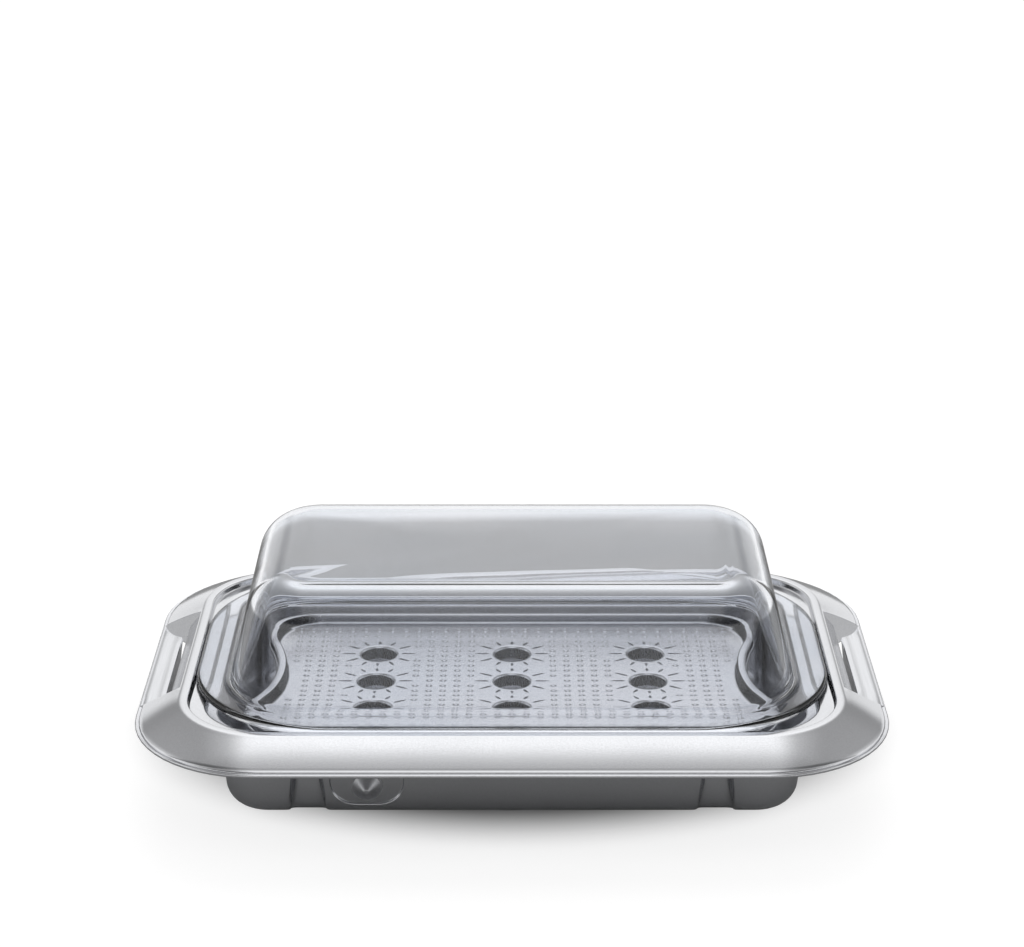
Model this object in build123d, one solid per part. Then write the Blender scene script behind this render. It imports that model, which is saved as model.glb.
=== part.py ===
from build123d import *
import math
import os

# Covered steam roaster for the table: a deep-drawn steel pan on a sandwich base, with a hollow
# overhanging rim and two grips, a perforated steam rack on four pegs, and a pressed glass lid.
# It stands closed. Millimetres; z = 0 is the table, the origin is under the middle of the pan,
# +X runs along the pan from grip to grip, and the gauge stud is on the front, which faces -Y.

# Pan: the plan of the rim's inner step. Distances u are measured outwards from it.
STEP_HALF_X = 179.5
STEP_HALF_Y = 109.8
STEP_CORNER = 44.0
SHEET = 1.0
CORNER_X = STEP_HALF_X - STEP_CORNER
CORNER_Y = STEP_HALF_Y - STEP_CORNER

# Pan: heights.
FLOOR_UNDER = 5.5
FLOOR_TOP = FLOOR_UNDER + SHEET
CREST_Z = 68.5
LEDGE_DROP = 4.0
LEDGE_1_Z = CREST_Z - LEDGE_DROP
LEDGE_2_Z = LEDGE_1_Z - LEDGE_DROP

# Pan: widths of the rim's steps, and the slope of its walls.
RISER_RUN = 0.6
LEDGE_1_WIDTH = 9.0
LEDGE_2_WIDTH = 6.3
CREST_WIDTH = 4.6
STEP_ROUND = 0.9
OPENING_U = -(2 * RISER_RUN + LEDGE_1_WIDTH + LEDGE_2_WIDTH)
WALL_FOOT_U = OPENING_U - 5.0
WALL_SLOPE = (OPENING_U - WALL_FOOT_U) / (LEDGE_2_Z - FLOOR_TOP)
FLOOR_ROUND = 12.5
FLOOR_PLATE_U = WALL_FOOT_U - FLOOR_ROUND - 2.0

# Pan: the hood outside the crest, and the hemmed bead along its lower edge.
HOOD_MIDDLE = (16.6, 63.4)
BEAD_U = 28.2
BEAD_Z = 56.2
BEAD_RADIUS = 1.3

# Grips: each end of the hood is cut away between two slanting planes, down to the bar's level.
CUT_X = 185.4
CUT_HALF_Y = 53.7
CUT_RUN_X = 1.075
CUT_RUN_Z = 2.04
CUT_FLANGE = 8.0
WELD_GAP = 0.02
BAR_INNER_X = 196.4
BAR_Z = 56.6
BAR_DISH = 0.9
BAR_FLANGE = 5.0
GRIP_SHEET = 1.2

# Posts pressed inwards from the long walls, and the pegs on their shelves.
POST_X = 113.0
POST_FACE_Y = 82.6
SHELF_Z = 45.0
POST_WIDTHS = ((22.0, 14.8), (13.6, 7.6))
POST_BEVEL = 3.2
SHELF_BEVEL = 1.6
PEG_Y = 86.0
PEG_RADIUS = 2.25
PEG_TOP_Z = 54.3

# Floor: four round depressions that serve as feet, and the raised disc over the base.
FOOT_X = 108.0
FOOT_Y = 53.0
FOOT_RADIUS = 26.0
FOOT_FLAT = 0.3
DISC_RADIUS = 67.5
DISC_RISE = 0.4

# Sandwich base under the floor.
CORE_RADIUS = 70.0
CAP_SHEET = 1.0

# Gauge holder: an oblong recess in the front wall, with a conical stud.
RECESS_X = -80.0
RECESS_Z = 28.5
RECESS_LENGTH = 40.4
RECESS_HEIGHT = 29.0
RECESS_DEPTH = 1.6
STUD_Z = 25.0
STUD_FLANGE_RADIUS = 8.6
STUD_FLANGE = 1.0
STUD_CONE_RADIUS = 7.9
STUD_TIP_RADIUS = 1.4
STUD_HEIGHT = 6.5

# Steam rack: a tray with rounded corners and waisted ends, hung by its hollow rim on the pegs.
RACK_SHEET = 0.8
RACK_TOP_Z = 55.4
RACK_RIM = 7.0
RACK_DEPTH = 8.0
RACK_SKIRT = 6.0
RACK_CORNER_X = 113.0
RACK_CORNER_Y = 52.5
RACK_CORNER = 37.0
RACK_WAIST_X = 138.6
HOLE_PITCH_X = 79.0
HOLE_PITCH_Y = 38.0
HOLE_RADIUS = 10.0
HOLE_COLLAR = 7.2
SLOT_WIDTH = 2.2
SLOT_START = 13.0

# Glass lid: flange on the first ledge, and a drafted dome.
GLASS = 5.0
LID_GAP = 0.15
LID_SIDE_GAP = 1.0
LID_HEIGHT = 69.0
LID_CORNER = 80.0
LID_EDGE_ROUND = 2.25
DOME_HALF_X = 160.0
DOME_HALF_Y = 92.0
DOME_CORNER = 48.0
DOME_DRAFT = 14.0
DOME_SHOULDER = 25.0
DOME_FOOT_ROUND = 5.0


def hood_line():
    """Upper face of the hood, from the crest to the bead."""
    return ThreePointArc((CREST_WIDTH, CREST_Z), HOOD_MIDDLE, (BEAD_U, BEAD_Z + BEAD_RADIUS))


def under_hood(u):
    """Point just under the hood's sheet, at a distance u."""
    hood = hood_line()
    radius = hood.radius - SHEET - WELD_GAP
    centre = hood.arc_center
    return (STEP_HALF_X + u, centre.Y + math.sqrt(radius ** 2 - (u - centre.X) ** 2))


def profile_line():
    """Upper face of the pan's sheet, from the floor up over the two ledges to the hood's edge."""
    u = 0.0
    steps = [(u, CREST_Z)]
    for width, z in ((LEDGE_1_WIDTH, LEDGE_1_Z), (LEDGE_2_WIDTH, LEDGE_2_Z)):
        u -= RISER_RUN
        steps.append((u, z))
        u -= width
        steps.append((u, z))
    foot = [(WALL_FOOT_U, FLOOR_TOP), (FLOOR_PLATE_U, FLOOR_TOP)]
    points = [(CREST_WIDTH, CREST_Z)] + steps + foot
    radii = [STEP_ROUND] * len(steps) + [FLOOR_ROUND]
    return FilletPolyline(*points, radius=radii) + hood_line()


def sheet_profile():
    """Section of the pan's sheet, with the bead along the hood's lower edge."""
    line = Wire(profile_line().edges())
    strip = offset(line, amount=SHEET, side=Side.LEFT, kind=Kind.INTERSECTION)
    return make_face(strip.edges()) + Pos(BEAD_U, BEAD_Z) * Circle(BEAD_RADIUS)


def swept_ring(section):
    """Carries a section, drawn as (u, z), round the pan's rounded rectangle."""
    upright = Plane.XZ
    wall_x = extrude(upright * Pos(STEP_HALF_X, 0) * section, CORNER_Y, both=True)
    side = Rot(0, 0, 90) * (upright * Pos(STEP_HALF_Y, 0) * section)
    wall_y = extrude(side, CORNER_X, both=True)
    corner = revolve(upright * Pos(STEP_CORNER, 0) * section, Axis.Z, 90)
    corners = [
        Pos(math.copysign(CORNER_X, math.cos(math.radians(turn + 45))),
            math.copysign(CORNER_Y, math.sin(math.radians(turn + 45)))) * Rot(0, 0, turn) * corner
        for turn in (0, 90, 180, 270)
    ]
    return wall_x + Rot(0, 0, 180) * wall_x + wall_y + Rot(0, 0, 180) * wall_y + corners


def mirrored(shape):
    """The shape and its images in the other three quarters."""
    behind = [shape, mirror(shape, Plane.YZ)]
    return behind + [mirror(half, Plane.XZ) for half in behind]


def wall_y(z):
    """Half width of the pan's inside between its long walls at a height."""
    return STEP_HALF_Y + WALL_FOOT_U + WALL_SLOPE * (z - FLOOR_TOP)


def drawn_body():
    """The pan's drawn body below the rim, filled, out to the outer face of its sheet."""
    half_x = STEP_HALF_X + WALL_FOOT_U + SHEET
    half_y = STEP_HALF_Y + WALL_FOOT_U + SHEET
    corner = STEP_CORNER + WALL_FOOT_U + SHEET
    plan = RectangleRounded(2 * half_x, 2 * half_y, corner)
    body = extrude(plan, SHELF_Z, taper=-math.degrees(math.atan(WALL_SLOPE)))
    body = fillet(body.edges().group_by(Axis.Z)[0], FLOOR_ROUND + SHEET)
    return Pos(0, 0, FLOOR_UNDER) * body


def post_blank(skin):
    """One post of the +X +Y quarter; with a skin it is the post's hollow instead."""
    front = POST_FACE_Y + skin
    back = wall_y(SHELF_Z) + 8 * SHEET
    sections = []
    for z in (FLOOR_UNDER - 8 * skin, SHELF_Z - skin):
        height = (z - FLOOR_UNDER) / (SHELF_Z - FLOOR_UNDER)
        wide, narrow = [foot + (head - foot) * height for foot, head in POST_WIDTHS]
        near = wide / 2 - skin
        far = narrow / 2 - skin / 2
        corners = [(-near, back), (-near, front + POST_BEVEL), (-far, front), (far, front),
                   (near, front + POST_BEVEL), (near, back)]
        sections.append(Pos(POST_X, 0, z) * make_face(Polyline(*corners, close=True)))
    blank = loft(sections, ruled=True)
    shelf = blank.faces().sort_by(Axis.Z)[-1]
    front_edges = [edge for edge in shelf.edges() if edge.center().Y < front + POST_BEVEL + 0.1]
    return chamfer(front_edges, SHELF_BEVEL)


def slanted_cut(side_x, side_y, setback=0.0):
    """Plane that ends a grip's opening, its normal pointing away from the opening."""
    normal = Vector(-CUT_RUN_X * side_x, side_y, -CUT_RUN_Z).normalized()
    corner = Vector(side_x * CUT_X, side_y * CUT_HALF_Y, CREST_Z)
    return Plane(origin=corner + normal * setback, z_dir=normal)


def between_cuts(shape, side_x):
    """Keeps what lies between the two slanting planes of a grip's opening."""
    for side_y in (1, -1):
        shape = split(shape, bisect_by=slanted_cut(side_x, side_y), keep=Keep.BOTTOM)
    return shape


def recess_plane():
    """Outer face of the front wall at the gauge recess, its normal pointing outwards."""
    slope = math.atan(WALL_SLOPE)
    face_y = -(wall_y(RECESS_Z) + SHEET / math.cos(slope))
    normal = (0, -math.cos(slope), -math.sin(slope))
    return Plane(origin=(RECESS_X, face_y, RECESS_Z), x_dir=(1, 0, 0), z_dir=normal)


def pan_shell():
    """The deep-drawn pan with its rim, posts, feet and gauge recess."""
    floor_x = STEP_HALF_X + FLOOR_PLATE_U
    floor_y = STEP_HALF_Y + FLOOR_PLATE_U
    floor_corner = STEP_CORNER + FLOOR_PLATE_U
    plate = extrude(RectangleRounded(2 * floor_x, 2 * floor_y, floor_corner), SHEET)
    pan = swept_ring(sheet_profile()) + Pos(0, 0, FLOOR_UNDER) * plate

    # Openings of the grips, each with its inner edge folded down.
    for side in (1, -1):
        blank = Box(40, 4 * CUT_HALF_Y, 40, align=(Align.MIN, Align.CENTER, Align.CENTER))
        opening = Pos(CUT_X, 0, BEAD_Z) * blank
        if side < 0:
            opening = mirror(opening, Plane.YZ)
        pan -= between_cuts(opening, side)
        fold = Box(SHEET, 2 * CUT_HALF_Y, CUT_FLANGE, align=(Align.CENTER, Align.CENTER, Align.MAX))
        pan += Pos(side * (CUT_X - SHEET / 2), 0, CREST_Z - SHEET / 2) * fold

    # Posts, and their hollows from outside.
    pan += mirrored(post_blank(0) & drawn_body())
    pan -= mirrored(post_blank(SHEET))

    # Round feet drawn down from the floor.
    drop = FLOOR_UNDER + FOOT_FLAT
    ball_radius = (FOOT_RADIUS ** 2 + drop ** 2) / (2 * drop)
    ball_place = Pos(FOOT_X, FOOT_Y, ball_radius - FOOT_FLAT)
    on_table = Box(3 * FOOT_RADIUS, 3 * FOOT_RADIUS, FLOOR_TOP,
                   align=(Align.CENTER, Align.CENTER, Align.MIN))
    slab = Pos(FOOT_X, FOOT_Y, 0) * on_table
    pan += mirrored((ball_place * Sphere(ball_radius)) & slab)
    pan -= mirrored((ball_place * Sphere(ball_radius - SHEET)) & slab)

    # Raised disc over the sandwich base.
    disc_half = (DISC_RISE + SHEET / 2) / 2
    pan += Pos(0, 0, FLOOR_TOP - SHEET / 2 + disc_half) * Cylinder(DISC_RADIUS, 2 * disc_half)

    # Gauge recess.
    plane = recess_plane()
    pad = SlotOverall(RECESS_LENGTH + 2 * SHEET, RECESS_HEIGHT + 2 * SHEET)
    hollow = SlotOverall(RECESS_LENGTH, RECESS_HEIGHT)
    pan += extrude(plane * pad, -(SHEET + RECESS_DEPTH))
    pan -= extrude(plane * hollow, RECESS_DEPTH, both=True)
    return pan


def grip(side):
    """Bar across one opening of the hood, with the two slanting webs that close the cut ends."""
    outer_x = STEP_HALF_X + BEAD_U
    middle_x = (BAR_INNER_X + outer_x) / 2
    top = ThreePointArc((BAR_INNER_X, BAR_Z), (middle_x, BAR_Z - BAR_DISH), (outer_x, BAR_Z + 0.4))
    low = ThreePointArc((outer_x, BAR_Z + 0.4 - GRIP_SHEET), (middle_x, BAR_Z - BAR_DISH - GRIP_SHEET),
                        (BAR_INNER_X + GRIP_SHEET, BAR_Z - GRIP_SHEET))
    flange = Polyline(low @ 1, (BAR_INNER_X + GRIP_SHEET, BAR_Z - BAR_FLANGE),
                      (BAR_INNER_X, BAR_Z - BAR_FLANGE), top @ 0)
    section = make_face([top, Line(top @ 1, low @ 0), low, *flange.edges()])
    section += Pos(outer_x, BEAD_Z) * Circle(BEAD_RADIUS)
    bar = extrude(Plane.XZ * section, 80, both=True)

    web_top = [under_hood(u) for u in (CUT_X - STEP_HALF_X, HOOD_MIDDLE[0], BEAD_U - BEAD_RADIUS)]
    web_z = BAR_Z - GRIP_SHEET
    web_foot = Polyline(web_top[2], (web_top[2][0], web_z), (CUT_X, web_z), web_top[0])
    web_face = make_face([ThreePointArc(*web_top), *web_foot.edges()])
    block = extrude(Plane.XZ * web_face, 90, both=True)
    if side < 0:
        bar = mirror(bar, Plane.YZ)
        block = mirror(block, Plane.YZ)
    piece = between_cuts(bar, side)
    for side_y in (1, -1):
        web = split(block, bisect_by=slanted_cut(side, side_y), keep=Keep.TOP)
        web = split(web, bisect_by=slanted_cut(side, side_y, GRIP_SHEET), keep=Keep.BOTTOM)
        piece += web
    return piece


def peg():
    """Round-tipped peg of the +X +Y quarter."""
    length = PEG_TOP_Z - SHELF_Z
    pin = Cylinder(PEG_RADIUS, length, align=(Align.CENTER, Align.CENTER, Align.MIN))
    pin = fillet(pin.edges().group_by(Axis.Z)[-1], PEG_RADIUS * 0.8)
    return Pos(POST_X, PEG_Y, SHELF_Z) * pin


def gauge_stud():
    """Conical stud on a thin flange, standing square on the recess floor."""
    rise = (STUD_Z - RECESS_Z) / math.cos(math.atan(WALL_SLOPE))
    points = [(0, 0), (STUD_FLANGE_RADIUS, 0), (STUD_FLANGE_RADIUS, STUD_FLANGE),
              (STUD_CONE_RADIUS, STUD_FLANGE), (STUD_TIP_RADIUS, STUD_HEIGHT), (0, STUD_HEIGHT)]
    half = make_face(Polyline(*points, close=True))
    cone = revolve(Plane.XZ * half, Axis.Z)
    cone = fillet(cone.edges().group_by(Axis.Z)[-1], STUD_TIP_RADIUS * 0.8)
    return recess_plane() * Pos(0, rise, -RECESS_DEPTH) * cone


def base_core():
    """Aluminium heat spreader under the floor."""
    disc = Cylinder(CORE_RADIUS, FLOOR_UNDER - CAP_SHEET, align=(Align.CENTER, Align.CENTER, Align.MIN))
    return Pos(0, 0, CAP_SHEET) * disc


def base_cap():
    """Steel cap over the core."""
    at_bottom = (Align.CENTER, Align.CENTER, Align.MIN)
    cup = Cylinder(CORE_RADIUS + CAP_SHEET, FLOOR_UNDER, align=at_bottom)
    cup = fillet(cup.edges().group_by(Axis.Z)[0], CAP_SHEET * 0.8)
    return cup - base_core()


def rack_outline(inset):
    """Plan of the rack, drawn in from its edge: four corners and two hollow waists."""
    radius = RACK_CORNER - inset
    reach = RACK_WAIST_X - RACK_CORNER
    square = RACK_CORNER_X ** 2 + RACK_CORNER_Y ** 2 - reach ** 2
    waist_x = square / (2 * (RACK_CORNER_X - reach))
    turn = math.atan2(RACK_CORNER_Y, waist_x - RACK_CORNER_X)
    half_y = RACK_CORNER_Y + radius
    meet = (RACK_CORNER_X + radius * math.cos(turn), RACK_CORNER_Y - radius * math.sin(turn))
    bend = math.radians(45) - turn / 2
    outer = (RACK_CORNER_X + radius * math.cos(bend), RACK_CORNER_Y + radius * math.sin(bend))
    right = ThreePointArc((RACK_CORNER_X, half_y), outer, meet)
    low = ThreePointArc(*[(x, -y) for x, y in ((RACK_CORNER_X, half_y), outer, meet)])
    waist = ThreePointArc(meet, (RACK_WAIST_X - inset, 0), (meet[0], -meet[1]))
    back = Line((-RACK_CORNER_X, half_y), (RACK_CORNER_X, half_y))
    right_side = [right, waist, low]
    left_side = [mirror(edge, Plane.YZ) for edge in right_side]
    return make_face([*right_side, *left_side, back, mirror(back, Plane.XZ)])


def rack_holes():
    """Plan of the drawn holes, and of the slots that stand round each one."""
    ends = (22.0, 22.0, 19.0, 17.0)
    grid = GridLocations(HOLE_PITCH_X, HOLE_PITCH_Y, 3, 3)
    holes = Sketch() + [loc * Circle(HOLE_RADIUS) for loc in grid]
    rosette = Sketch()
    for index in range(12):
        end = ends[min(index % 6, 6 - index % 6)]
        slot = SlotOverall(end - SLOT_START, SLOT_WIDTH)
        rosette += Rot(0, 0, 30 * index) * Pos((end + SLOT_START) / 2, 0) * slot
    return holes, [loc * rosette for loc in grid]


def steam_rack():
    """Pressed tray with a hollow rim, nine holes drawn downwards and their slots."""
    floor_z = RACK_TOP_Z - RACK_DEPTH
    holes, slots = rack_holes()
    rim = rack_outline(0) - rack_outline(RACK_RIM)
    skirt = rack_outline(0) - rack_outline(RACK_SHEET)
    wall = rack_outline(RACK_RIM - RACK_SHEET) - rack_outline(RACK_RIM)
    floor = rack_outline(RACK_RIM - RACK_SHEET) - holes - slots
    collar = Circle(HOLE_RADIUS + RACK_SHEET) - Circle(HOLE_RADIUS)
    rack = Pos(0, 0, RACK_TOP_Z - RACK_SHEET) * extrude(rim, RACK_SHEET)
    rack += Pos(0, 0, RACK_TOP_Z - RACK_SKIRT) * extrude(skirt, RACK_SKIRT)
    rack += Pos(0, 0, floor_z - RACK_SHEET) * extrude(wall, RACK_DEPTH)
    rack += Pos(0, 0, floor_z - RACK_SHEET) * extrude(floor, RACK_SHEET)
    ring = Pos(0, 0, floor_z - RACK_SHEET - HOLE_COLLAR) * extrude(collar, HOLE_COLLAR)
    return rack + [loc * ring for loc in GridLocations(HOLE_PITCH_X, HOLE_PITCH_Y, 3, 3)]


def glass_lid():
    """Pressed glass dome with a wide flange."""
    flange_x = 2 * (STEP_HALF_X - LID_SIDE_GAP)
    flange_y = 2 * (STEP_HALF_Y - LID_SIDE_GAP)
    flange = extrude(RectangleRounded(flange_x, flange_y, LID_CORNER), GLASS)
    flange_edges = flange.edges().group_by(Axis.Z)
    flange = fillet(flange_edges[-1] + flange_edges[0], LID_EDGE_ROUND)
    dome_plan = RectangleRounded(2 * DOME_HALF_X, 2 * DOME_HALF_Y, DOME_CORNER)
    dome = extrude(dome_plan, LID_HEIGHT, taper=DOME_DRAFT)
    dome = fillet(dome.edges().group_by(Axis.Z)[-1], DOME_SHOULDER)
    inner_x = DOME_HALF_X - GLASS
    inner_y = DOME_HALF_Y - GLASS
    hollow_plan = RectangleRounded(2 * inner_x, 2 * inner_y, DOME_CORNER - GLASS)
    hollow = extrude(hollow_plan, LID_HEIGHT - GLASS, taper=DOME_DRAFT)
    hollow = fillet(hollow.edges().group_by(Axis.Z)[-1], DOME_SHOULDER - GLASS)
    lid = flange + dome
    foot = [e for e in lid.edges() if abs(e.bounding_box().min.Z - GLASS) < 0.01
            and abs(e.bounding_box().max.Z - GLASS) < 0.01 and abs(e.center().X) < DOME_HALF_X + 2]
    lid = fillet(foot, DOME_FOOT_ROUND)
    lid -= hollow
    return Pos(0, 0, LEDGE_1_Z + LID_GAP) * lid


def write(shape, node):
    """Writes one piece as parts/NODE.step."""
    export_step(shape, f"parts/{node}.step")


os.makedirs("parts", exist_ok=True)
write(pan_shell(), "pan_shell")
write(grip(-1), "left_grip")
write(grip(1), "right_grip")
for peg_piece, place in zip(mirrored(peg()), ("rear_right", "rear_left", "front_right", "front_left")):
    write(peg_piece, f"{place}_peg")
write(gauge_stud(), "gauge_stud")
write(base_core(), "base_core")
write(base_cap(), "base_cap")
write(steam_rack(), "steam_rack")
write(glass_lid(), "glass_lid")
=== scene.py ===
import math
import bmesh
import bpy
from mathutils import Matrix, Vector


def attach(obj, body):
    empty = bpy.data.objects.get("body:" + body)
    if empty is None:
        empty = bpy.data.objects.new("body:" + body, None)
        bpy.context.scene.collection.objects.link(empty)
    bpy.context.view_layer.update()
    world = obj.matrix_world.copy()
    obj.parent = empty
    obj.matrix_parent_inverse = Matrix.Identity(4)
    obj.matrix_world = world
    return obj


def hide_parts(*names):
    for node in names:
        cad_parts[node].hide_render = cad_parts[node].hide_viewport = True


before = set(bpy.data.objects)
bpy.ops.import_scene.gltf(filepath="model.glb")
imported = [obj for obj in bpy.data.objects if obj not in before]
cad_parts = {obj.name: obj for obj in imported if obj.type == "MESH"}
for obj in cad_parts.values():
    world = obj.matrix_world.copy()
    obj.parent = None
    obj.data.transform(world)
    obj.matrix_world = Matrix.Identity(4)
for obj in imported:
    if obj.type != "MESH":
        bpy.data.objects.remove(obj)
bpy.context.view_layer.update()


# Camera: a long lens looking down at the roaster from the front.
lens = bpy.data.cameras.new("camera")
lens.sensor_width = 36.0
lens.lens = 91.4
lens.clip_end = 60.0
camera = bpy.data.objects.new("camera", lens)
camera.location = (0.0, -1.371, 0.691)
camera.rotation_euler = (math.radians(69.4), 0.0, 0.0)
bpy.context.scene.collection.objects.link(camera)
bpy.context.scene.camera = camera
bpy.context.scene.view_settings.view_transform = "Standard"

# Studio: a white cove all round, a wide soft box high behind the object and another above its
# front, with black flags at the sides and a dim room in front, so that steel shows light and dark.
def node(tree, kind, settings=None, **links):
    """Adds a shader node with its settings, a ramp's stops among them, and links its inputs."""
    made = tree.nodes.new(kind)
    for name, value in (settings or {}).items():
        if name == "stops":
            while len(made.color_ramp.elements) < len(value):
                made.color_ramp.elements.new(1.0)
            for element, (place, shade) in zip(made.color_ramp.elements, value):
                element.position = place
                element.color = (shade, shade, shade, 1.0) if isinstance(shade, float) else shade
        elif isinstance(name, int) or name in made.inputs:
            made.inputs[name].default_value = value
        else:
            setattr(made, name, value)
    for name, source in links.items():
        tree.links.new(source, made.inputs[int(name[1:]) if name[0] == "_" else name.replace("_", " ")])
    return made


world = bpy.data.worlds.new("studio")
bpy.context.scene.world = world
world.use_nodes = True
tree = world.node_tree
tree.nodes.clear()
split = node(tree, "ShaderNodeSeparateXYZ", Vector=node(tree, "ShaderNodeTexCoord").outputs["Generated"])
turn = node(tree, "ShaderNodeMath", {"operation": "ARCTAN2"}, _0=split.outputs["Z"], _1=split.outputs["Y"])
share = node(tree, "ShaderNodeMath", {"operation": "DIVIDE", 1: math.pi}, _0=turn.outputs[0])
over = node(tree, "ShaderNodeValToRGB", {"stops": (
    (0.0, 1.0), (0.12, 1.05), (0.2, 1.3), (0.37, 1.4), (0.41, 1.35), (0.44, 0.75), (0.47, 0.42), (0.52, 0.45),
    (0.56, 1.15), (0.76, 1.15), (0.82, 0.4), (0.88, 0.12), (1.0, 0.1))}, Fac=share.outputs[0])
aside = node(tree, "ShaderNodeMath", {"operation": "ABSOLUTE"}, _0=split.outputs["X"])
flags = node(tree, "ShaderNodeValToRGB", {"stops": (
    (0.0, 1.0), (0.17, 1.0), (0.28, 0.48), (0.42, 0.3), (0.6, 0.34), (0.78, 0.62), (1.0, 0.9))},
             Fac=aside.outputs[0])
shaded = node(tree, "ShaderNodeMix", {"data_type": "RGBA", "blend_type": "MULTIPLY", 0: 1.0},
              _6=over.outputs["Color"], _7=flags.outputs["Color"])
low = node(tree, "ShaderNodeValToRGB", {"stops": ((0.2, 1.0), (0.3, 0.0))}, Fac=split.outputs["Z"])
cove = node(tree, "ShaderNodeMix", {"data_type": "RGBA", 7: (1, 1, 1, 1)},
            _0=low.outputs["Color"], _6=shaded.outputs[2])
sky = node(tree, "ShaderNodeBackground", Color=cove.outputs[2])
node(tree, "ShaderNodeOutputWorld", Surface=sky.outputs[0])

# Floor: a plain pale table that glows to white, except in an oval of soft shade right under the pan.
# What shines or is clear shows that white only from some way behind the object.
def linear(code):
    """Linear colour of a hex sRGB code."""
    parts = [int(code[i:i + 2], 16) / 255 for i in (1, 3, 5)]
    return [part / 12.92 if part < 0.04045 else ((part + 0.055) / 1.055) ** 2.4 for part in parts] + [1.0]


surface = bpy.data.materials.new("floor")
surface.use_nodes = True
tree = surface.node_tree
tree.nodes.clear()
pale = node(tree, "ShaderNodeBsdfDiffuse", {"Color": linear("#B4B4B4")})
path = node(tree, "ShaderNodeLightPath")
spot = node(tree, "ShaderNodeTexCoord").outputs["Object"]
depth = node(tree, "ShaderNodeSeparateXYZ", Vector=spot).outputs["Y"]
shade_x, shade_y = 0.22, 0.15
glow_strength = 0.78
oval = node(tree, "ShaderNodeMapping", {"Location": (0, -0.3, 0), "Scale": (1 / shade_x, 1 / shade_y, 0)},
            Vector=spot)
under = node(tree, "ShaderNodeVectorMath", {"operation": "LENGTH"}, _0=oval.outputs[0])
strength = None
for kind, value, first, last in (("Camera", under.outputs["Value"], 0.7, 1.1), ("Glossy", depth, 0.7, 1.6),
                                 ("Transmission", depth, 0.3, 0.65)):
    level = node(tree, "ShaderNodeMapRange", {
        "interpolation_type": "SMOOTHSTEP", 1: first, 2: last, 3: 0.0, 4: glow_strength}, Value=value)
    lit = node(tree, "ShaderNodeMath", {"operation": "MULTIPLY"},
               _0=path.outputs[f"Is {kind} Ray"], _1=level.outputs[0])
    if strength:
        lit = node(tree, "ShaderNodeMath", {"operation": "MAXIMUM"},
                   _0=strength.outputs[0], _1=lit.outputs[0])
    strength = lit
glow = node(tree, "ShaderNodeEmission", {"Color": (1, 1, 1, 1)}, Strength=strength.outputs[0])
both = node(tree, "ShaderNodeAddShader", _0=pale.outputs[0], _1=glow.outputs[0])
node(tree, "ShaderNodeOutputMaterial", Surface=both.outputs[0])
mesh = bpy.data.meshes.new("floor")
bm = bmesh.new()
bmesh.ops.create_grid(bm, x_segments=1, y_segments=1, size=12.0)
bm.to_mesh(mesh)
bm.free()
floor = bpy.data.objects.new("floor", mesh)
bpy.context.scene.collection.objects.link(floor)
mesh.materials.append(surface)


# Pan: one deep-drawn sheet of satin stainless steel, 1 mm thick, from the rolled bead of the
# hollow rim over the crest and two ledges down the walls to the floor. Four posts are pressed in
# from the long walls, and four round feet are pressed down from the floor.
step_x, step_y, step_corner = 179.5, 109.8, 44.0  # half sizes and corner of the rim's inner step
crest, ledge_drop, floor_top = 68.5, 4.0, 6.5
sheet = 1.0


def woven(rows, columns, place, closed=True):
    """Grid of quads whose crossings are put where place(row, column) says, in millimetres."""
    bm = bmesh.new()
    bmesh.ops.create_grid(bm, x_segments=columns - 1 + closed, y_segments=rows - 1, size=1)
    wide = columns + closed
    for index, vert in enumerate(bm.verts):
        row, column = divmod(index, wide)
        vert.co = Vector(place(row, column % columns)) / 1000
    bm.faces.ensure_lookup_table()
    return bm


def weld(bm):
    """Joins crossings that lie on each other, such as the two ends of a closed row."""
    bmesh.ops.remove_doubles(bm, verts=bm.verts, dist=2e-6)


def piece(name, bm, body, *materials, thickness=0.0, angle=40.0, replaces=()):
    """Turns a bmesh into an object that rides on a body, thickened downwards if it is a sheet."""
    weld(bm)
    mesh = bpy.data.meshes.new(name)
    bm.to_mesh(mesh)
    bm.free()
    made = bpy.data.objects.new(name, mesh)
    bpy.context.scene.collection.objects.link(made)
    for material in materials:
        mesh.materials.append(material)
    if thickness:
        wall = made.modifiers.new("wall", "SOLIDIFY")
        wall.thickness = thickness / 1000
        wall.offset = -1.0
        wall.use_even_offset = True
        wall.material_offset = 1 - len(materials)
        apply_modifiers(made)
    made.data.shade_smooth()
    made.data.set_sharp_from_angle(angle=math.radians(angle))
    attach(made, body)
    if replaces:
        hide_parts(*replaces)
    return made


def apply_modifiers(made):
    """Bakes an object's modifiers into its mesh."""
    seen = made.evaluated_get(bpy.context.evaluated_depsgraph_get())
    old = made.data
    made.data = bpy.data.meshes.new_from_object(seen)
    made.modifiers.clear()
    bpy.data.meshes.remove(old)


def arc(centre, radius, start, stop, count):
    """Points of an arc, from one angle to another in degrees."""
    turns = [math.radians(start + (stop - start) * i / count) for i in range(count + 1)]
    return [(centre[0] + radius * math.cos(a), centre[1] + radius * math.sin(a)) for a in turns]


def circle_through(a, b, c):
    """Centre and radius of the circle through three points."""
    m = 2 * ((b[0] - a[0]) * (c[1] - a[1]) - (b[1] - a[1]) * (c[0] - a[0]))
    p = b[0] ** 2 + b[1] ** 2 - a[0] ** 2 - a[1] ** 2
    q = c[0] ** 2 + c[1] ** 2 - a[0] ** 2 - a[1] ** 2
    x = (p * (c[1] - a[1]) - q * (b[1] - a[1])) / m
    y = (q * (b[0] - a[0]) - p * (c[0] - a[0])) / m
    return (x, y), math.hypot(a[0] - x, a[1] - y)


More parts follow.
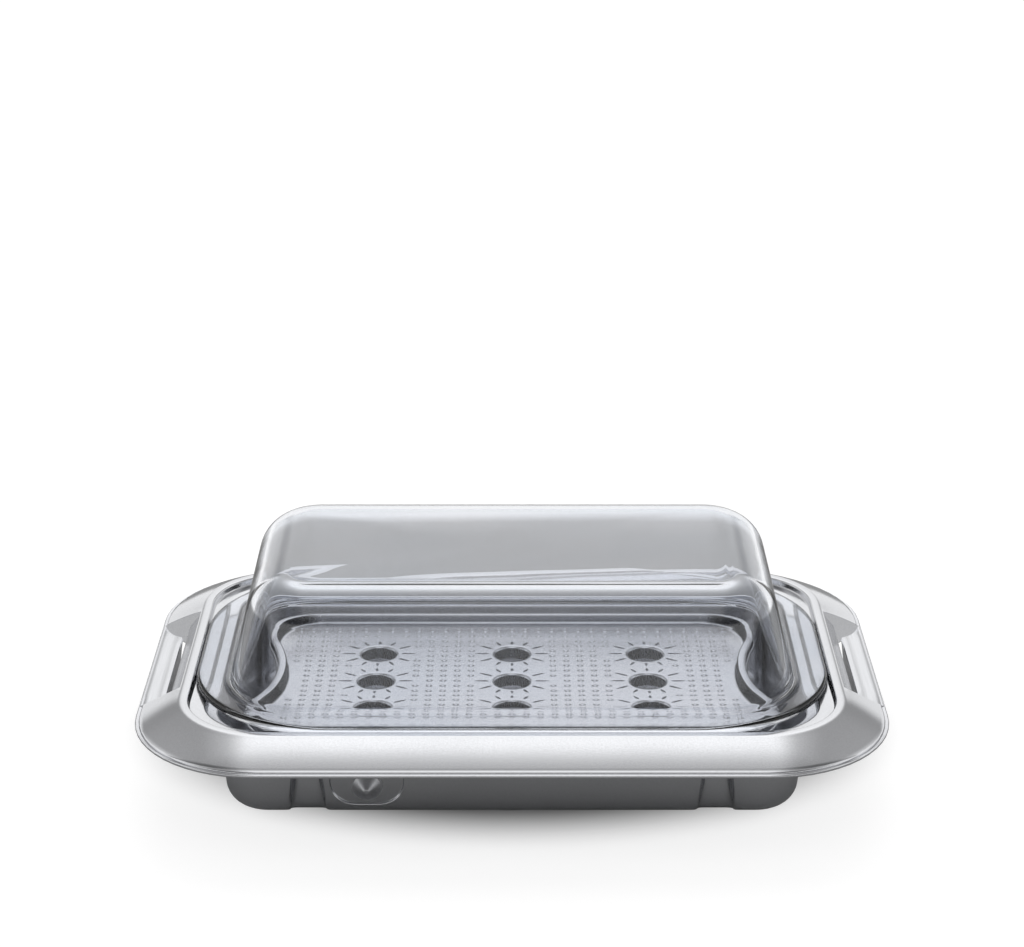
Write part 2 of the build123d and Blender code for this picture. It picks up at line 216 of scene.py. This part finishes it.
def mirror_round(quarter):
    """Carries the first quarter's columns round all four: (sign of x, sign of y, column)."""
    last = len(quarter) - 1
    ring = [(1, 1, q) for q in range(last + 1)] + [(-1, 1, q) for q in range(last - 1, -1, -1)]
    return ring + [(-1, -1, q) for q in range(1, last + 1)] + [(1, -1, q) for q in range(last - 1, 0, -1)]


def level_edges(edges, z):
    """Open edges that lie at one height, in millimetres."""
    return [e for e in edges if e.is_boundary and all(abs(v.co.z - z / 1000) < 1e-6 for v in e.verts)]


def fill_floor(bm, edges):
    """Fills the flat field between the loops, all at one height."""
    made = bmesh.ops.triangle_fill(bm, use_beauty=True, use_dissolve=False, edges=edges, normal=(0, 0, 1))
    faces = [item for item in made["geom"] if isinstance(item, bmesh.types.BMFace)]
    for face in faces:
        face.normal_update()
        if face.normal.z < 0:
            face.normal_flip()
    return faces


def turned(bm, centre, rows, count, stretch=lambda x, y: (x, y)):
    """Rings of a round dish about a vertical line; returns the edges of the first ring."""
    old = set(bm.verts)
    dish = woven(len(rows), count, lambda row, column: (
        *[c + s for c, s in zip(centre, stretch(
            rows[row][0] * math.cos(2 * math.pi * column / count),
            rows[row][0] * math.sin(2 * math.pi * column / count)))], rows[row][1]))
    weld(dish)
    mesh = bpy.data.meshes.new("dish")
    dish.to_mesh(mesh)
    dish.free()
    bm.from_mesh(mesh)
    bpy.data.meshes.remove(mesh)
    return [edge for edge in bm.edges if edge.is_boundary and edge.verts[0] not in old]


def steel_finish(name, colour, roughness, grain, stretch=(1, 1, 1), depth=0.012, cloud=60.0):
    """Stainless steel with a grain of so many millimetres, drawn out where stretch is small."""
    made = bpy.data.materials.new(name)
    made.use_nodes = True
    tree = made.node_tree
    shader = tree.nodes["Principled BSDF"]
    shader.inputs["Metallic"].default_value = 1.0
    spot = node(tree, "ShaderNodeTexCoord").outputs["Object"]
    drawn = node(tree, "ShaderNodeMapping", {"Scale": stretch}, Vector=spot)
    grit = node(tree, "ShaderNodeTexNoise", {"Scale": 1000 / grain, "Detail": 3.0, "Roughness": 0.6},
                Vector=drawn.outputs[0])
    patch = node(tree, "ShaderNodeTexNoise", {"Scale": 1000 / cloud, "Detail": 2.0}, Vector=spot)
    blend = node(tree, "ShaderNodeMix", {0: 0.35}, _2=grit.outputs[0], _3=patch.outputs[0])
    base = linear(colour)
    darker, lighter = ([part * change for part in base[:3]] + [1.0] for change in (0.93, 1.05))
    tint = node(tree, "ShaderNodeValToRGB", {"stops": ((0.3, darker), (0.7, lighter))}, Fac=blend.outputs[0])
    tree.links.new(tint.outputs["Color"], shader.inputs["Base Color"])
    rough = node(tree, "ShaderNodeMapRange", {1: 0.3, 2: 0.7, 3: roughness * 1.2, 4: roughness * 0.8},
                 Value=blend.outputs[0])
    tree.links.new(rough.outputs[0], shader.inputs["Roughness"])
    ridges = node(tree, "ShaderNodeBump", {"Strength": 0.5, "Distance": depth / 1000}, Height=grit.outputs[0])
    tree.links.new(ridges.outputs[0], shader.inputs["Normal"])
    return made


# Satin stainless steel, rolled and then blasted fine: soft reflections with a faint even grain. The
# real grit is about 0.05 mm, far too fine to show, so it is drawn 0.9 mm wide.
satin_steel = steel_finish("satin_steel", "#DADBDE", 0.15, 0.9)
# The inside of the draw, rubbed down along its length and a little duller; its darker colour is painted shade
# for the deep well.
painted_shade_well_steel = steel_finish("painted_shade_well_steel", "#C0C1C5", 0.22, 1.1, (0.12, 1, 1), depth=0.006)
# Disc pressed flat over the sandwich base: blasted dull.
blasted_steel = steel_finish("blasted_steel", "#C6C7CA", 0.4, 0.8, depth=0.02)

hood_centre, hood_radius = circle_through((4.6, crest), (16.6, 63.4), (28.2, 57.5))


def hood_z(u):
    """Height of the hood's upper face at a distance outside the rim's inner step."""
    return hood_centre[1] + math.sqrt(hood_radius ** 2 - (u - hood_centre[0]) ** 2)


def wall_u(z):
    """Place of the pan's wall at a height: it leans out 5 mm in 54."""
    return -21.5 + (z - floor_top) * 5 / 54


def cut_y(u, z):
    """Half length of a grip's opening."""
    return 53.7 + 1.075 * (u - 5.9) + 2.04 * (z - crest)


# each row of the section: the plain sheet, and the face of a post where the two differ
section = [(point, point) for point in arc((28.2, 56.2), 1.3, -215, 62, 12)]
section += [(point, point) for point in ((28.2, 57.2), (27.4, 57.05), (27.22, 57.75))]
for u in (26.6, 25.0, 22.0, 18.5, 15.0, 11.5, 8.5, 5.9):
    section.append(((u, hood_z(u)),) * 2)
cut_row = len(section) - 1
for point in ((5.2, 68.3), (4.2, 68.47), (2.6, crest)):
    section.append((point, point))
for u, z in ((0.0, crest), (-9.6, crest - ledge_drop)):
    bend = arc((u + 0.95, z - 1.1), 1.1, 90, 171, 4) + arc((u - 1.375, z - 3.1), 0.9, -9, -90, 3)
    section += [(point, point) for point in bend + [(u - 5.0, z - ledge_drop)]]
section += [(point, point) for point in arc((-15.22, 59.1), 1.4, 90, 174.7, 5)]
section += [((wall_u(z), z),) * 2 for z in (53.0, 48.0, 46.4)]
fronts = [(-18.3, 45.4), (-19.2, 45.05), (-21.2, 44.9)] + arc((-22.4, 40.0), 4.8, 88, 180, 6)
fronts += [(-27.2, 36.0), (-27.2, 28.5), (-27.2, 21.0)] + arc((-34.4, 13.7), 7.2, 0, -90, 9)
plains = [(wall_u(z), z) for z in (
    45.8, 45.5, 45.2, 44.9, 44.5, 44.0, 43.4, 42.6, 41.5, 40.4, 36.0, 29.5, 23.0)]
wall_foot_u, wall_foot_z, wall_foot_round = -32.894, 19.0, 12.5
plains += arc((wall_foot_u, wall_foot_z), wall_foot_round, -5.3, -90, 9)
section += list(zip(plains, fronts)) + [((-35.0, floor_top), (-35.0, floor_top))]

# posts stand this far from the middle; columns of the first quarter, from the middle of the right
# end to the middle of the long side
post_x = 113.0
quarter = [("end", t) for t in (0.0, 14.0, 27.0, 40.0)] + [("cut", 0)] + [("end", t) for t in (58.0, 62.0)]
quarter += [("corner", 90 * i / 14) for i in range(15)] + [("side", 131.0)]
across = ((1.0, 2.4, 0.0), (1.0, 0.8, 0.04), (1.0, 0.1, 0.18), (0.97, 0, 0.45), (0.86, 0, 0.66),
          (0.45, 0, 0.9), (0.12, 0, 0.985), (0.0, -0.8, 1.0))
quarter += [("post", (1, *item)) for item in across] + [("post", (0, 0, 0, 1.0))]
quarter += [("post", (-1, *item)) for item in reversed(across)]
quarter += [("side", t) for t in (92.0, 80.0, 60.0, 40.0, 20.0, 0.0)]
ring = mirror_round(quarter)


def pan_point(row, column):
    """Place of a crossing of the pan's sheet."""
    sx, sy, q = ring[column]
    kind, spot = quarter[q]
    (u, z), front = section[row]
    if kind == "end":
        x, y = step_x + u, spot
    elif kind == "cut":
        x, y = step_x + u, cut_y(u, z) if row <= cut_row else cut_y(*section[cut_row][0])
    elif kind == "corner":
        x = step_x - step_corner + (step_corner + u) * math.cos(math.radians(spot))
        y = step_y - step_corner + (step_corner + u) * math.sin(math.radians(spot))
    elif kind == "side":
        x, y = spot, step_y + u
    else:
        side, bevel, root, share = spot
        u += (front[0] - u) * share
        z += (front[1] - z) * share
        rise = min(max((z - floor_top) / 38.5, 0), 1)
        wide = 11.0 - 3.6 * rise
        narrow = 6.8 - 3.0 * rise
        x, y = post_x + side * (narrow + (wide - narrow) * bevel + root), step_y + u
    return sx * x, sy * y, z


bm = woven(len(section), len(ring), pan_point)
around = len(ring)
window = []
for row in range(cut_row):
    for column in range(around):
        if ring[column][2] <= 4 and ring[(column + 1) % around][2] <= 4:
            window.append(bm.faces[row * around + column])
bmesh.ops.delete(bm, geom=window, context="FACES")
weld(bm)

# inner edge of each grip opening, folded down
cut_x = (step_x + section[cut_row][0][0]) / 1000
fold = [e for e in bm.edges if e.is_boundary and all(
    abs(abs(v.co.x) - cut_x) < 1e-4 and v.co.z > 0.06 for v in e.verts)]
for out, down in ((0.0005, 0.0006), (0.0005, 0.0012), (0.005, 0.0046)):
    made = bmesh.ops.extrude_edge_only(bm, edges=fold)["geom"]
    fold = [item for item in made if isinstance(item, bmesh.types.BMEdge)]
    for vert in {v for e in fold for v in e.verts}:
        vert.co.x += math.copysign(out, vert.co.x)
        vert.co.z -= down

# floor with its feet, which are shorter towards the wall, and the raised disc over the base
foot_x, foot_y, short = 108.0, 53.0, 0.74
loops = level_edges(bm.edges, floor_top)
bowl = [(27.2, floor_top), (26.7, 6.48), (26.0, 6.35), (25.0, 6.05), (23.0, 5.43), (20.0, 4.55), (17.0, 3.72),
        (14.0, 2.9), (11.0, 2.08), (8.0, 1.36), (5.5, 1.04), (3.0, 1.0), (0.0, 1.0)]
for sx in (1, -1):
    for sy in (1, -1):
        loops += turned(bm, (foot_x * sx, foot_y * sy), bowl, 48,
                        lambda x, y, sy=sy: (x, y * (short if y * sy > 0 else 1.0)))
disc = [(68.6, floor_top), (68.2, 6.52), (67.5, 6.86), (67.0, 6.9), (66.0, 6.9), (0.0, 6.9)]
loops += turned(bm, (0, 0), disc, 96)
fill_floor(bm, loops)
bm.normal_update()
# below the ledges the inside, all but the feet's bowls, has the darker drawn steel as painted shade for the
# deep well, and the disc the blasted one
well_x, well_y, well_top, disc_radius = 165.5, 95.8, 59.1, 67.0
for face in bm.faces:
    spot = 1000 * face.calc_center_median()
    if 6.4 < spot.z < well_top and abs(spot.x) < well_x and abs(spot.y) < well_y:
        face.material_index = 1 if spot.z < 10 and spot.xy.length < disc_radius else 2
pan = piece("pan_sheet", bm, "pan", satin_steel, blasted_steel, painted_shade_well_steel,
            thickness=sheet, replaces=("pan_shell",))


# Grips: a bar of brushed sheet welded across each opening of the hood, with its own rolled bead
# outside and a flange folded down inside, and two slanting webs that close the hood's cut ends.
bar = [(15.6, 48.0), (15.8, 55.2)] + arc((16.9, 55.3), 1.1, 175, 100, 4)
bar_in, bar_wide, bar_hollow = 16.9, 11.3, 0.9
for u in (19.5, 21.0, 22.5, 24.0, 25.5):
    share = (u - bar_in) / bar_wide
    bar.append((u, 56.6 + 0.4 * share - bar_hollow * math.sin(math.pi * share)))
bar += [(27.0, 56.9)] + arc((28.2, 56.2), 1.3, 110, -130, 10)
# Steel brushed along the bar: fine scratches 0.5 mm apart that run its whole length.
brushed_steel = steel_finish("brushed_steel", "#DADBDE", 0.2, 0.5, (1, 0.015, 1), depth=0.02)
for side, name in ((-1, "left_grip"), (1, "right_grip")):
    def bar_point(row, column):
        """Place of a crossing of the bar."""
        u, z = bar[row]
        return side * (step_x + u), -side * cut_y(u, z) * (1 - column / 4), z

    bm = woven(len(bar), 9, bar_point, closed=False)
    bmesh.ops.reverse_faces(bm, faces=bm.faces)
    for sy in (1, -1):
        def web_point(row, column):
            """Place of a crossing of the web at one end of the bar."""
            u = 5.9 + 22.0 * column / 10
            top = hood_z(u) - 0.1
            z = top + (55.4 - top) * row / 6
            return side * (step_x + u), sy * cut_y(u, z), z

        web = woven(7, 11, web_point, closed=False)
        if side * sy > 0:
            bmesh.ops.reverse_faces(web, faces=web.faces)
        mesh = bpy.data.meshes.new("web")
        web.to_mesh(mesh)
        web.free()
        bm.from_mesh(mesh)
        bpy.data.meshes.remove(mesh)
    made = piece(name + "_sheet", bm, "pan", brushed_steel, thickness=1.2, replaces=(name,))


# Pegs: polished pins that keep the rack in place, each turned with a rounded boss at its foot and
# welded on top of a post.
def lathe(rows, count, where=Matrix()):
    """Closed round piece turned about its own z axis, from (radius, height) rows."""
    bm = woven(len(rows), count, lambda row, column: (
        rows[row][0] * math.cos(2 * math.pi * column / count),
        rows[row][0] * math.sin(2 * math.pi * column / count), rows[row][1]))
    weld(bm)
    bmesh.ops.transform(bm, matrix=where, verts=bm.verts)
    bmesh.ops.recalc_face_normals(bm, faces=bm.faces)
    return bm


# Polished steel: near a mirror, with only a trace of turning marks.
polished_steel = steel_finish("polished_steel", "#DDDEE1", 0.1, 0.4, (0.3, 0.3, 1), depth=0.003)
peg_y = 86.0
pin = [(0.0, 43.0), (4.2, 43.0), (4.2, 44.7), (4.0, 45.6), (3.5, 46.3), (2.8, 46.8), (2.3, 47.2)]
pin += [(2.25, 50.0)] + arc((0.45, 52.5), 1.8, 0, 90, 6) + [(0.0, 54.3)]
for name, sx, sy in (("rear_right", 1, 1), ("rear_left", -1, 1),
                     ("front_right", 1, -1), ("front_left", -1, -1)):
    bm = lathe(pin, 28, Matrix.Translation((post_x / 1000 * sx, peg_y / 1000 * sy, 0)))
    made = piece(name + "_pin", bm, "pan", polished_steel, replaces=(name + "_peg",))


# Gauge holder: an oblong recess pressed into the front wall, with a turned stud on its floor that
# a thermometer's clip fits over.
level_sheet = 1.004  # the sheet's thickness, measured level through the leaning wall


def outer_face(z):
    """Distance of the front wall's outer face from the middle, with its rounding at the foot."""
    if z > 17.75:
        return step_y + wall_u(z) + level_sheet
    return step_y + wall_foot_u + math.sqrt((wall_foot_round + sheet) ** 2 - (wall_foot_z - z) ** 2)


cup_x, cup_z, cup_deep, cup_half = -80.0, 28.5, 1.6, 5.7
cup = [(15.02, 0.02), (14.85, 0.08), (14.6, 0.3), (14.45, 0.7), (14.35, 1.1), (14.1, 1.42), (13.7, 1.57),
       (13.1, cup_deep)]


def oblong(radius, column):
    """Place along the oblong outline with ends of this radius: sideways and height."""
    a = 2 * math.pi * (column + 0.5) / 48
    end_x = cup_x + math.copysign(cup_half, math.cos(a))
    return end_x + radius * math.cos(a), cup_z + radius * math.sin(a)


def cup_point(row, column):
    """Place of a crossing of the recess."""
    radius, depth = cup[row]
    x, z = oblong(radius, column)
    k = depth / cup_deep
    flat = step_y + wall_u(z) + level_sheet - cup_deep
    return x, -((outer_face(z) - depth) * (1 - k) + flat * k), z


bm = woven(len(cup), 48, cup_point)
weld(bm)
inner = [e for e in bm.edges if e.is_boundary and all(
    abs(v.co.x - cup_x / 1000) < 0.01885 and abs(v.co.z - cup_z / 1000) < 0.01315 for v in e.verts)]
bmesh.ops.holes_fill(bm, edges=inner, sides=0)
bmesh.ops.recalc_face_normals(bm, faces=bm.faces)
if max(bm.faces, key=lambda f: f.calc_area()).normal.y > 0:
    bmesh.ops.reverse_faces(bm, faces=bm.faces)
recess = piece("gauge_recess", bm, "pan", satin_steel, thickness=0.9)


def cutter_point(row, column):
    """Place of a crossing of the block that opens the wall for the recess."""
    x, z = oblong(15.0, column)
    return x, -112 + 24 * row, z


bm = woven(2, 48, cutter_point)
weld(bm)
bmesh.ops.holes_fill(bm, edges=[e for e in bm.edges if e.is_boundary], sides=0)
bmesh.ops.recalc_face_normals(bm, faces=bm.faces)
mesh = bpy.data.meshes.new("cutter")
bm.to_mesh(mesh)
bm.free()
cutter = bpy.data.objects.new("cutter", mesh)
bpy.context.scene.collection.objects.link(cutter)
cut = pan.modifiers.new("cut", "BOOLEAN")
cut.operation = "DIFFERENCE"
cut.object = cutter
cut.solver = "EXACT"
apply_modifiers(pan)
bpy.data.objects.remove(cutter)
bpy.data.meshes.remove(mesh)
pan.data.set_sharp_from_angle(angle=math.radians(40))
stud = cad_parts["gauge_stud"]
stud.data.materials.clear()
stud.data.materials.append(blasted_steel)


# Sandwich base: an aluminium core brazed under the floor, closed by a thin steel cap, so that the
# pan heats evenly. Both are plain turned rounds seen only from below.
# Aluminium faced on a lathe: brighter and softer than the steel round it.
faced_aluminium = steel_finish("faced_aluminium", "#E2E4E6", 0.34, 0.8, depth=0.02)
for name, material in (("base_core", faced_aluminium), ("base_cap", satin_steel)):
    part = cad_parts[name]
    part.data.materials.clear()
    part.data.materials.append(material)


# Steam rack: a tray pressed from thin satin sheet, with a hollow rim that ends in a rolled lip.
# Nine holes are drawn downwards, each with a ring of short slits, and low oblong bumps stand in
# rows over the rest of the floor.
rack_x, rack_y, rack_corner, rack_floor = 150.0, 89.5, 37.0, 47.4
corner_x, corner_y = rack_x - rack_corner, rack_y - rack_corner
narrowest = 138.6
waist_x = (corner_x ** 2 + corner_y ** 2 - (narrowest - rack_corner) ** 2) / (
    2 * (corner_x - narrowest + rack_corner))
waist_radius = waist_x - narrowest
meeting = math.atan2(corner_y, corner_x - waist_x)
rim_quarter = [("waist", math.pi + (meeting - math.pi) * i / 12) for i in range(12)]
rim_quarter += [("corner", meeting - math.pi + (1.5 * math.pi - meeting) * i / 20) for i in range(21)]
rim_quarter += [("side", t) for t in (90.0, 60.0, 30.0, 0.0)]
rim_ring = mirror_round(rim_quarter)
rim = [(1.9, 49.75), (1.2, 49.45)] + arc((0.9, 50.3), 0.9, -90, -270, 8)[1:]
rim += [(1.0, 51.5), (1.0, 53.4)] + arc((2.6, 53.8), 1.6, 180, 90, 5) + [(4.0, 55.4), (5.4, 55.4)]
rim += arc((5.6, 54.2), 1.2, 85, 8, 4) + [(7.05, 51.5)] + arc((9.0, 49.2), 1.8, 184, 270, 6)
rim += [(10.4, rack_floor)]


def rim_point(row, column):
    """Place of a crossing of the rack's rim."""
    sx, sy, q = rim_ring[column]
    kind, spot = rim_quarter[q]
    inset, z = rim[row]
    if kind == "waist":
        x = waist_x + (waist_radius + inset) * math.cos(spot)
        y = (waist_radius + inset) * math.sin(spot)
    elif kind == "corner":
        x = corner_x + (rack_corner - inset) * math.cos(spot)
        y = corner_y + (rack_corner - inset) * math.sin(spot)
    else:
        x, y = spot, rack_y - inset
    return sx * x, sy * y, z


def inside_rack(x, y, margin):
    """Whether a point of the floor lies this far inside the rack's edge."""
    x, y = abs(x), abs(y)
    if y > rack_y - margin or math.hypot(x - waist_x, y) < waist_radius + margin:
        return False
    if x > corner_x and y > corner_y:
        return math.hypot(x - corner_x, y - corner_y) < rack_corner - margin
    return x < rack_x - margin


# Thin sheet blasted after pressing: pale, with a sparkle of grit that is drawn 0.7 mm wide to show.
sparkling_steel = steel_finish("sparkling_steel", "#DADBDE", 0.24, 0.7, depth=0.03, cloud=90.0)
# Walls of the drawn collars round the holes, stretched most by the press and a little duller; their dark
# colour is painted shade inside the holes.
painted_shade_collar_steel = steel_finish("painted_shade_collar_steel", "#6C6E73", 0.26, 0.9, (1, 1, 0.2), depth=0.03)
# The rim's inner wall where it bends: painted shade darkens the pale sheet at the waists, fading back to it
# by the long sides.
painted_shade_rim_steel = steel_finish("painted_shade_rim_steel", "#DADBDE", 0.24, 0.9, (1, 1, 0.2), depth=0.03)
tree = painted_shade_rim_steel.node_tree
shader = tree.nodes["Principled BSDF"]
place = node(tree, "ShaderNodeSeparateXYZ", Vector=node(tree, "ShaderNodeTexCoord").outputs["Object"])
off = node(tree, "ShaderNodeMath", {"operation": "ABSOLUTE"}, _0=place.outputs["X"])
painted_waist_shade = node(tree, "ShaderNodeValToRGB", {"stops": ((0.112, 1.0), (0.118, 1.0), (0.124, 0.2), (0.15, 0.26))},
            Fac=off.outputs[0])
darker = node(tree, "ShaderNodeMix", {"data_type": "RGBA", "blend_type": "MULTIPLY", 0: 1.0},
              _6=shader.inputs["Base Color"].links[0].from_socket, _7=painted_waist_shade.outputs["Color"])
tree.links.new(darker.outputs[2], shader.inputs["Base Color"])
bm = woven(len(rim), len(rim_ring), rim_point)
bm.faces.ensure_lookup_table()
# the inner wall's rows beyond the long sides take the steel with painted shade at the waists
for row in range(len(rim) - 13, len(rim) - 5):
    for column in range(len(rim_ring)):
        kind = rim_quarter[rim_ring[column][2]][0], rim_quarter[rim_ring[(column + 1) % len(rim_ring)][2]][0]
        bm.faces[row * len(rim_ring) + column].material_index = 2 * int("side" not in kind)
weld(bm)
loops = level_edges(bm.edges, rack_floor)
collar = [(12.2, rack_floor), (11.8, 47.38), (11.2, 47.2), (10.6, 46.8), (10.2, 46.2), (10.05, 45.4),
          (10.0, 43.0), (10.0, 39.7)]
slot_start, slot_half, collar_bend = 13.4, 0.9, 46.2
centres = [(79 * i, 38 * j) for i in (-1, 0, 1) for j in (-1, 0, 1)]
for centre in centres:
    made = turned(bm, centre, collar, 40)
    loops += level_edges(made, rack_floor)
    for index in range(12):
        end = (22.0, 22.0, 19.0, 17.5)[min(index % 6, 6 - index % 6)]
        made = bmesh.ops.create_circle(bm, segments=10, radius=slot_half / 1000)["verts"]
        for vert in made:
            share = (vert.co.x * 1000 / slot_half + 1) / 2
            vert.co.y *= 1.35 - 0.75 * share
            vert.co.x = (slot_start + (end - slot_start) * share) / 1000
        place = Matrix.Translation((centre[0] / 1000, centre[1] / 1000, rack_floor / 1000))
        turn = Matrix.Rotation(math.radians(30 * index), 4, "Z")
        bmesh.ops.transform(bm, matrix=place @ turn, verts=made)
        loops += [e for e in bm.edges if e.verts[0] in made and e.verts[1] in made]
fill_floor(bm, loops)
# the collars' walls below their bend take the dark steel of painted shade inside the holes
for face in bm.faces:
    spot = 1000 * face.calc_center_median()
    if spot.z < collar_bend and inside_rack(spot.x, spot.y, 10.0):
        face.material_index = 1
rack = piece("rack_sheet", bm, "rack", sparkling_steel, painted_shade_collar_steel, painted_shade_rim_steel,
             thickness=0.8, replaces=("steam_rack",))

# bumps: one low oblong dome of 30 faces, stamped all over
dome = bmesh.new()
bmesh.ops.create_uvsphere(dome, u_segments=10, v_segments=6, radius=1,
                          matrix=Matrix.Diagonal((0.0022, 0.0013, 0.0008, 1)))
bmesh.ops.delete(dome, geom=[v for v in dome.verts if v.co.z < -1e-5], context="VERTS")
bump = bpy.data.meshes.new("bump")
dome.to_mesh(bump)
dome.free()
bm = bmesh.new()
bump_gap_x, bump_gap_y = 8.0, 6.9
bare_by_hole, bare_by_edge = 24.0, 14.0
for i in range(-18, 19):
    for j in range(-12, 13):
        x, y = bump_gap_x * i, bump_gap_y * j
        near = min(math.hypot(x - c[0], y - c[1]) for c in centres)
        if near > bare_by_hole and inside_rack(x, y, bare_by_edge):
            place = Matrix.Translation((x / 1000, y / 1000, 0.0473))
            bump.transform(place)
            bm.from_mesh(bump)
            bump.transform(place.inverted())
bpy.data.meshes.remove(bump)
bumps = piece("rack_bumps", bm, "rack", sparkling_steel)
# lifted out, the rack would be mirrored in the pan's rim and darken it
for made in (rack, bumps):
    made.visible_glossy = False


# Lid: clear pressed glass about 5 mm thick, a drafted dome with a soft shoulder and a wide flat
# flange that rests on the pan's upper ledge. Its top is flat enough to stand on as a dish.
lid_seat, lid_thick, lid_height, shoulder_round = 64.65, 5.0, 69.0, 25.0
flange_x, flange_y, flange_corner, flange_round = 178.5, 108.8, 80.0, 2.25
# Clear soda-lime glass, pressed in a mould: a faint grey body and long soft waves, 40 mm apart and
# about 0.1 mm high, that make what is seen through it swim a little.
clear_glass = bpy.data.materials.new("clear_glass")
clear_glass.use_nodes = True
tree = clear_glass.node_tree
shader = tree.nodes["Principled BSDF"]
shader.inputs["Transmission Weight"].default_value = 1.0
shader.inputs["Roughness"].default_value = 0.0
shader.inputs["IOR"].default_value = 1.5
spot = node(tree, "ShaderNodeTexCoord").outputs["Object"]
long = node(tree, "ShaderNodeMapping", {"Scale": (0.35, 1, 1)}, Vector=spot)
waves = node(tree, "ShaderNodeTexNoise", {"Scale": 1000 / 40, "Detail": 1.0}, Vector=long.outputs[0])
body = node(tree, "ShaderNodeValToRGB", {"stops": ((0.3, linear("#ECEFF4")), (0.7, linear("#F2F3F6")))},
            Fac=waves.outputs[0])
tree.links.new(body.outputs["Color"], shader.inputs["Base Color"])
swim = node(tree, "ShaderNodeBump", {"Strength": 0.6, "Distance": 0.0002}, Height=waves.outputs[0])
tree.links.new(swim.outputs[0], shader.inputs["Normal"])


def rounded(half_x, half_y, corner, around):
    """Points of a rounded rectangle, one for each (sign, sign, end share, side share, angle)."""
    sx, sy, fx, fy, angle = around
    return (sx * ((half_x - corner) * fx + corner * math.cos(angle)),
            sy * ((half_y - corner) * fy + corner * math.sin(angle)))


lid_quarter = [(1, i / 4, 0.0) for i in range(4)] + [(1, 1, math.pi / 2 * i / 16) for i in range(17)]
lid_quarter += [(1 - i / 8, 1, math.pi / 2) for i in range(1, 9)]
lid_ring = [(sx, sy, *lid_quarter[q]) for sx, sy, q in mirror_round(lid_quarter)]
lean = 14  # degrees
draft = math.tan(math.radians(lean))


def dome_rows(half_x, half_y, corner, height, shoulder, lowest, count):
    """Rows of a drafted dome, from the edge of its flat top down to its foot."""
    mid = height - shoulder
    inset = mid * draft + shoulder / math.cos(math.atan(draft))
    made = []
    for i in range(count + 1):
        a = math.radians(90 - (90 - lean) * i / count)
        out = shoulder * math.cos(a) - inset
        made.append((half_x + out, half_y + out, corner + out, mid + shoulder * math.sin(a)))
    top = made[-1][3]
    for z in [top + (lowest - top) * i / 5 for i in range(1, 6)]:
        made.append((half_x - z * draft, half_y - z * draft, corner - z * draft, z))
    return made


outside = 160.0, 92.0, 48.0  # half sizes and corner at the dome's foot
lid_rows = dome_rows(*outside, lid_height, shoulder_round, 9.0, 12)
foot_round = 5.0
for out, z in arc((foot_round, 2 * foot_round), foot_round, 180 + lean, 270, 6)[1:]:
    out += foot_round / math.cos(math.atan(draft)) - foot_round - 2 * foot_round * draft
    lid_rows.append((*[size + out for size in outside], z))
flange = [(8.0, lid_thick)]
for level, start, stop in ((lid_thick - flange_round, 90, 0), (flange_round, 0, -90)):
    flange += [(flange_round - p, level + q) for p, q in arc((0, 0), flange_round, start, stop, 5)]
flange.append((8.0, 0.0))
lid_rows += [(flange_x - i, flange_y - i, flange_corner - i, z) for i, z in flange]
inside = [size - lid_thick for size in outside]
lid_rows += [(156.2, 88.2, 44.2, 0.0), (155.3, 87.3, 43.3, 0.3), (154.8, 86.8, 42.8, 1.0)]
hollow = dome_rows(*inside, lid_height - lid_thick, shoulder_round - lid_thick, 2.5, 12)
lid_rows += list(reversed(hollow))


def lid_point(row, column):
    """Place of a crossing of the glass's surface."""
    half_x, half_y, corner, z = lid_rows[row]
    return *rounded(half_x, half_y, corner, lid_ring[column]), lid_seat + z


bm = woven(len(lid_rows), len(lid_ring), lid_point)
weld(bm)
bmesh.ops.holes_fill(bm, edges=[e for e in bm.edges if e.is_boundary], sides=0)
bmesh.ops.recalc_face_normals(bm, faces=bm.faces)
lid = piece("lid_glass", bm, "lid", clear_glass, angle=60.0, replaces=("glass_lid",))
